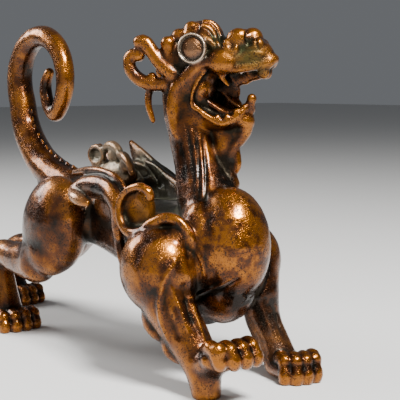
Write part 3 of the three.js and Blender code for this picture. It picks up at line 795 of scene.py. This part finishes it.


# Spots where the casting is lighter and darker, most of this painted light and painted shade; mottling;
# greenish in its hollows; grey in the eyes;
# and pale painted highlights. Places in the head's own directions are worked out by inHead.
finishAndLightSpots = [
    # Painted light makes the breast lighter, and painted shade makes the shoulder's side darker; their
    # mottling is the bronze's own.
    {"place": (-4, -60, 43), "reach": 14, "toneAndPaintedLight": 0.24, "mottle": 1.0},
    {"place": (-21, -46, 31), "reach": 12, "toneAndPaintedLight": -0.06, "mottle": 0.35},
    {"place": inHead((8, -3, 1)), "reach": 15, "toneAndPaintedLight": 0.22, "mottle": 0.35},
    # Painted shade inside the mouth, by its far side.
    {"place": inHead((10, 4.2, -7)), "reach": 5, "toneAndPaintedLight": -0.1},
    # Painted light down the chest's near side and the shoulder's front.
    {"place": (-9, -45, 40), "reach": 6, "toneAndPaintedLight": 0.4},
    {"place": (-9.5, -49.5, 33), "reach": 6, "toneAndPaintedLight": 0.3},
    # Painted light on the near foreleg's panel.
    {"place": (-18, -48.5, 20), "reach": 7, "toneAndPaintedLight": 0.3},
    # Painted light and a pale painted highlight inside the left foreleg.
    {"place": (13, -51, 12), "reach": 6, "toneAndPaintedLight": 0.35, "paintedHighlight": 0.12},
    {"place": inHead((-10, -5, 2)), "reach": 8, "toneAndPaintedLight": 0.1},
    {"place": (-14, -68, 14), "reach": 9, "toneAndPaintedLight": 0.14},
    {"place": (18, -62, 6), "reach": 8, "toneAndPaintedLight": 0.12},
    # Painted shade over the haunch.
    {"place": (-18, 16, 36), "reach": 20, "toneAndPaintedLight": -0.16},
    # Painted shade under the wing's arch and in the hollow behind it.
    {"place": (-17, -13, 48.4), "reach": 5, "toneAndPaintedLight": -0.4},
    {"place": (-14, -16, 44), "reach": 8, "toneAndPaintedLight": -0.2},
    # Painted shade inside the mouth.
    {"place": inHead((4, 0, -6)), "reach": 4, "toneAndPaintedLight": -0.2},
    # Painted shade on the neck below the head.
    {"place": (0, -37, 62), "reach": 11, "toneAndPaintedLight": -0.14},
    # Painted light on the beard and under the jaw.
    {"place": inHead((6, -2, -21)), "reach": 6, "toneAndPaintedLight": 0.3},
    {"place": inHead((3, -4, -17)), "reach": 4, "toneAndPaintedLight": 0.25},
    # Painted shade under the breast.
    {"place": (2, -55, 21), "reach": 12, "toneAndPaintedLight": -0.5},
    # Painted shade inside the mouth.
    {"place": inHead((7, 0, -9)), "reach": 5, "toneAndPaintedLight": -0.1},
    # Painted light on the near cheek.
    {"place": inHead((-1, -6.6, -10)), "reach": 4.5, "toneAndPaintedLight": 0.3},
    {"place": inHead((-3, -6, -15)), "reach": 4, "toneAndPaintedLight": 0.2},
    {"place": (10, -8, 51), "reach": 12, "toneAndPaintedLight": -0.5, "green": 0.5},
    # Green patination on the raised lobes, with pale painted highlights on them.
    {"place": (2, 6, 58), "reach": 11, "toneAndPaintedLight": 0.1, "green": 0.75, "paintedHighlight": 0.3},
    # Painted light in the bowl of the ear-like curl.
    {"place": (-18, -31, 46.5), "reach": 6, "toneAndPaintedLight": 0.75},
    {"place": (-17, -35.6, 46.4), "reach": 3.4, "green": 0.6},
    # Painted light and a pale painted highlight on the wing's tongue.
    {"place": (-19.4, -3.4, 47.8), "reach": 3.6, "toneAndPaintedLight": 0.45, "paintedHighlight": 0.28},
    {"place": (-2, -26, 48), "reach": 7, "toneAndPaintedLight": -0.35, "green": 0.45},
    {"place": (-10, -34, 44), "reach": 6, "toneAndPaintedLight": -0.3, "green": 0.6},
    {"place": inHead((17.5, -4.4, 1.8)), "reach": 4.2, "toneAndPaintedLight": -0.05, "green": 0.95},
    {"place": inHead((20, -1.5, -3)), "reach": 2.6, "toneAndPaintedLight": -0.15, "green": 0.6},
    {"place": inHead((7, -3.6, 4.6)), "reach": 3.4, "toneAndPaintedLight": -0.2, "green": 0.6},
    {"place": inHead((eye["ahead"], -7, eye["up"])), "reach": 3.2, "toneAndPaintedLight": -0.05, "grey": 1.0},
    {"place": inHead((eye["ahead"], 7, eye["up"])), "reach": 3.2, "toneAndPaintedLight": -0.05, "grey": 1.0},
]


def paintFinishAndLight(mesh):
    points = getPoints(mesh) * metre - toRow
    sums = {name: np.zeros(len(points)) for name in ("toneAndPaintedLight", "mottle", "green", "grey", "paintedHighlight")}
    for spot in finishAndLightSpots:
        near = np.exp(-((points - np.array(spot["place"])) ** 2).sum(axis=1) / spot["reach"] ** 2)
        for name in sums:
            sums[name] += spot.get(name, 0) * near
    # painted highlights, pale, on the rims of the eyes
    for side in (-1, 1):
        away = points - np.array(inHead((eye["ahead"], side * eye["rimAside"], eye["up"])))
        lateral = away @ leftward
        across = np.sqrt(np.maximum((away ** 2).sum(axis=1) - lateral ** 2, 0))
        rim = np.exp(-((across - eye["rimRadius"]) / eye["rimWidth"]) ** 2)
        rim *= (lateral * side > -eye["rimInner"]) * (np.abs(lateral) < eye["rimOuter"])
        sums["paintedHighlight"] += rim
        sums["grey"] *= 1 - rim
    for name, values in sums.items():
        addAttribute(mesh, name, values)


# Patinated bronze. Lit is the high ground, worn lighter and brightened with painted light, deep the dark of
# the hollows, the bronze's own darkening together with painted shade, brown between them.
bronzeLook = {
    "lit": (0.27, 0.088, 0.006),
    "brown": (0.078, 0.021, 0.0025),
    "deep": (0.008, 0.004, 0.002),
    "green": (0.046, 0.052, 0.014),
    "grey": (0.10, 0.072, 0.053),
    # the pale colour of painted highlights
    "paleHighlight": (0.60, 0.50, 0.38),
    "deepAt": 0.2,           # the tones at which the three browns stand
    "brownAt": 0.52,
    "litAt": 0.9,
    "middle": 0.1,           # the plain surface's tone
    "cloudShare": 0.5,
    "broadShare": 0.42,      # change of tone for each millimetre of relief
    "fineShare": 1.6,
    "veinShare": 0.55,       # how much the mottling's veins lighten, and how much the rest darkens
    "veinDark": -0.33,
    "hollowFrom": 0.3,       # the relief at which a hollow starts and is full, in millimetres
    "hollowTo": -0.5,
    "hollowGreen": 0.06,
    "greenCloud": 0.7,       # how much of the green follows the clouds
    "greyShare": 0.7,
    "pitShare": 0.85,
    "paleHighlightShare": 0.75,
    "roughness": 0.17,
    "cloudDull": 0.1,        # what clouds, pits, green, grey and hollows add to the roughness
    "pitDull": 0.2,
    "greenDull": 0.22,
    "greyDull": -0.1,
    "hollowDull": 0.14,
    "metallic": 0.88,
    "coat": 0.26,
    "coatRoughness": 0.12,
    "bumpStrength": 0.35,
    "bumpDistance": 0.0002,
}
# Each pattern of the cast skin: scale, detail, roughness, and where it starts and is full
skinGrain = {
    "cloud": (170, 5, 0.62, 0.32, 0.68),
    "vein": (430, 4, 0.6, 0.42, 0.62),
    "speck": (2500, 2, 0.4, 0.53, 0.62),
    "patch": (260, 3, 0.55, 0.36, 0.58),
    "lump": (700, 4, 0.55),
}
patchShare = 0.75            # how much of the pits comes in patches
lumpHeight = 0.5
pitDepth = 0.6


def newNode(tree, kind, **settings):
    node = tree.nodes.new(kind)
    for key, value in settings.items():
        setattr(node, key, value)
    return node


def mathNode(tree, operation, a, b=None, c=None):
    node = newNode(tree, "ShaderNodeMath", operation=operation)
    for socket, value in zip(node.inputs, (a, b, c)):
        if isinstance(value, (int, float)):
            socket.default_value = value
        elif value is not None:
            tree.links.new(value, socket)
    return node.outputs[0]


def rangeNode(tree, value, low, high):
    node = newNode(tree, "ShaderNodeMapRange")
    tree.links.new(value, node.inputs["Value"])
    node.inputs["From Min"].default_value = low
    node.inputs["From Max"].default_value = high
    return node.outputs["Result"]


def mixNode(tree, share, a, b):
    node = newNode(tree, "ShaderNodeMix", data_type="RGBA")
    for socket, value in zip((node.inputs[0], node.inputs[6], node.inputs[7]), (share, a, b)):
        if isinstance(value, tuple):
            socket.default_value = value + (1,)
        else:
            tree.links.new(value, socket)
    return node.outputs[2]


# Cloudy tone, veins, fine black pits and the height of a rough cast skin
def castSkin():
    group = bpy.data.node_groups.new("castSkin", "ShaderNodeTree")
    place = newNode(group, "ShaderNodeTexCoord").outputs["Object"]

    def grain(name):
        scale, detail, rough, *ends = skinGrain[name]
        node = newNode(group, "ShaderNodeTexNoise")
        group.links.new(place, node.inputs["Vector"])
        node.inputs["Scale"].default_value = scale
        node.inputs["Detail"].default_value = detail
        node.inputs["Roughness"].default_value = rough
        return rangeNode(group, node.outputs["Fac"], *ends) if ends else node.outputs["Fac"]

    patches = mathNode(group, "MULTIPLY_ADD", grain("patch"), patchShare, 1 - patchShare)
    pits = mathNode(group, "MULTIPLY", grain("speck"), patches)
    lumps = mathNode(group, "MULTIPLY", grain("lump"), lumpHeight)
    height = mathNode(group, "SUBTRACT", lumps, mathNode(group, "MULTIPLY", pits, pitDepth))
    results = {"Cloud": grain("cloud"), "Vein": grain("vein"), "Pits": pits, "Height": height}
    for name in results:
        group.interface.new_socket(name, in_out="OUTPUT", socket_type="NodeSocketFloat")
    out = newNode(group, "NodeGroupOutput")
    for name, value in results.items():
        group.links.new(value, out.inputs[name])
    return group


def patinatedBronzeWithPaintedLight():
    look = bronzeLook
    material = bpy.data.materials.new("patinated_bronze_with_painted_light")
    material.use_nodes = True
    tree = material.node_tree
    shader = tree.nodes["Principled BSDF"]
    shader.inputs["Metallic"].default_value = look["metallic"]
    shader.inputs["Coat Roughness"].default_value = look["coatRoughness"]
    skin = newNode(tree, "ShaderNodeGroup", node_tree=castSkin()).outputs

    def painted(name):
        return newNode(tree, "ShaderNodeAttribute", attribute_name=name).outputs["Fac"]

    def scaled(value, share, added):
        return mathNode(tree, "MULTIPLY_ADD", value, share, added)

    def times(value, share):
        return mathNode(tree, "MULTIPLY", value, share)

    # tone, from dark hollows to light heights: worn and darkened bronze, and with it painted shade in the
    # hollows and painted light on the heights; the spots add more painted light and shade
    toneAndPaintedLight = scaled(painted("broadRelief"), look["broadShare"], look["middle"])
    toneAndPaintedLight = scaled(painted("fineRelief"), look["fineShare"], toneAndPaintedLight)
    toneAndPaintedLight = mathNode(tree, "ADD", toneAndPaintedLight, painted("toneAndPaintedLight"))
    toneAndPaintedLight = scaled(skin["Cloud"], look["cloudShare"], toneAndPaintedLight)
    toneAndPaintedLight = scaled(scaled(skin["Vein"], look["veinShare"], look["veinDark"]), painted("mottle"), toneAndPaintedLight)
    ramp = newNode(tree, "ShaderNodeValToRGB")
    tree.links.new(toneAndPaintedLight, ramp.inputs["Fac"])
    steps = ramp.color_ramp.elements
    steps[0].position, steps[0].color = look["deepAt"], look["deep"] + (1,)
    steps[1].position, steps[1].color = look["litAt"], look["lit"] + (1,)
    steps.new(look["brownAt"]).color = look["brown"] + (1,)

    # colour; the eyes are nearly free of pits
    hollow = rangeNode(tree, painted("broadRelief"), look["hollowFrom"], look["hollowTo"])
    green = times(painted("green"), scaled(skin["Cloud"], look["greenCloud"], 1 - look["greenCloud"]))
    green = scaled(hollow, look["hollowGreen"], green)
    colour = mixNode(tree, green, ramp.outputs["Color"], look["green"])
    colour = mixNode(tree, times(painted("grey"), look["greyShare"]), colour, look["grey"])
    pitted = times(skin["Pits"], scaled(painted("grey"), -look["pitShare"], look["pitShare"]))
    colour = mixNode(tree, pitted, colour, look["deep"])
    # pale painted highlights over the colour
    colour = mixNode(tree, times(painted("paintedHighlight"), look["paleHighlightShare"]), colour, look["paleHighlight"])
    tree.links.new(colour, shader.inputs["Base Color"])

    # gloss: pits, green and hollows are duller, the eyes smoother
    rough = scaled(skin["Cloud"], look["cloudDull"], look["roughness"])
    rough = scaled(skin["Pits"], look["pitDull"], rough)
    rough = scaled(painted("green"), look["greenDull"], rough)
    rough = scaled(painted("grey"), look["greyDull"], rough)
    tree.links.new(scaled(hollow, look["hollowDull"], rough), shader.inputs["Roughness"])
    dull = mathNode(tree, "MAXIMUM", hollow, painted("green"))
    tree.links.new(scaled(dull, -look["coat"], look["coat"]), shader.inputs["Coat Weight"])
    bump = newNode(tree, "ShaderNodeBump")
    bump.inputs["Strength"].default_value = look["bumpStrength"]
    bump.inputs["Distance"].default_value = look["bumpDistance"]
    tree.links.new(skin["Height"], bump.inputs["Height"])
    tree.links.new(bump.outputs["Normal"], shader.inputs["Normal"])
    return material


casting = modelledCasting()
print("working the lines in")
workLinesIn(casting, [line for group in seenLines.values() for line in group])
pressDents(casting)
unevenSkin(casting)
cutToSize(casting)
print("triangles before thinning", triangleCount(casting))
casting = modified(casting, "DECIMATE", ratio=min(1, figurine["triangles"] / triangleCount(casting)))
print("triangles", triangleCount(casting))
measureRelief(casting)
paintFinishAndLight(casting)
for face in casting.polygons:
    face.use_smooth = True

print("patinating")
casting.materials.append(patinatedBronzeWithPaintedLight())
piece = bpy.data.objects.new("pixiu_casting", casting)
bpy.context.scene.collection.objects.link(piece)
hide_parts("pixiu")
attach(piece, "root")


studioLook = {
    "floorColour": (0.62, 0.61, 0.59),
    "floorSize": 6,
    "floorHeight": -0.0002,
    "floorRoughness": 0.7,
    "skyColour": (0.8, 0.84, 0.9),
    "skyStrength": 0.17,
    "aim": (0, 0, 0.045),
    "lamps": {               # place in metres, size, power in watts
        "key": ((-0.05, -0.37, 0.48), 0.14, 10.5),
        "fill": ((-0.6, -0.25, 0.3), 1.0, 1.8),
        "rim": ((-0.25, 0.5, 0.36), 0.3, 5),
    },
}


def paleFloor():
    bpy.ops.mesh.primitive_plane_add(size=studioLook["floorSize"], location=(0, 0, studioLook["floorHeight"]))
    floor = bpy.context.object
    floor.name = "floor"
    material = bpy.data.materials.new("pale_floor")
    material.use_nodes = True
    shader = material.node_tree.nodes["Principled BSDF"]
    shader.inputs["Base Color"].default_value = studioLook["floorColour"] + (1,)
    shader.inputs["Roughness"].default_value = studioLook["floorRoughness"]
    floor.data.materials.append(material)


def softLight():
    world = bpy.context.scene.world or bpy.data.worlds.new("world")
    bpy.context.scene.world = world
    world.use_nodes = True
    background = world.node_tree.nodes["Background"]
    background.inputs["Color"].default_value = studioLook["skyColour"] + (1,)
    background.inputs["Strength"].default_value = studioLook["skyStrength"]
    for name, (place, size, power) in studioLook["lamps"].items():
        light = bpy.data.lights.new(name, "AREA")
        light.size = size
        light.energy = power
        lamp = bpy.data.objects.new(name, light)
        lamp.location = place
        lamp.rotation_euler = (Vector(studioLook["aim"]) - Vector(place)).to_track_quat("-Z", "Y").to_euler()
        bpy.context.scene.collection.objects.link(lamp)


def photoCamera():
    camera = bpy.data.cameras.new("camera")
    camera.sensor_fit = "HORIZONTAL"
    camera.angle = 2 * math.atan(photoView["frameSize"] / 2 / photoView["focal"])
    camera.dof.use_dof = False
    holder = bpy.data.objects.new("camera", camera)
    holder.location = (np.array(photoView["place"]) + toRow) / metre
    holder.rotation_euler = (math.radians(90 - photoView["down"]), 0, math.radians(-photoView["azimuth"]))
    bpy.context.scene.collection.objects.link(holder)
    bpy.context.scene.camera = holder


print("setting up the studio")
paleFloor()
softLight()
photoCamera()
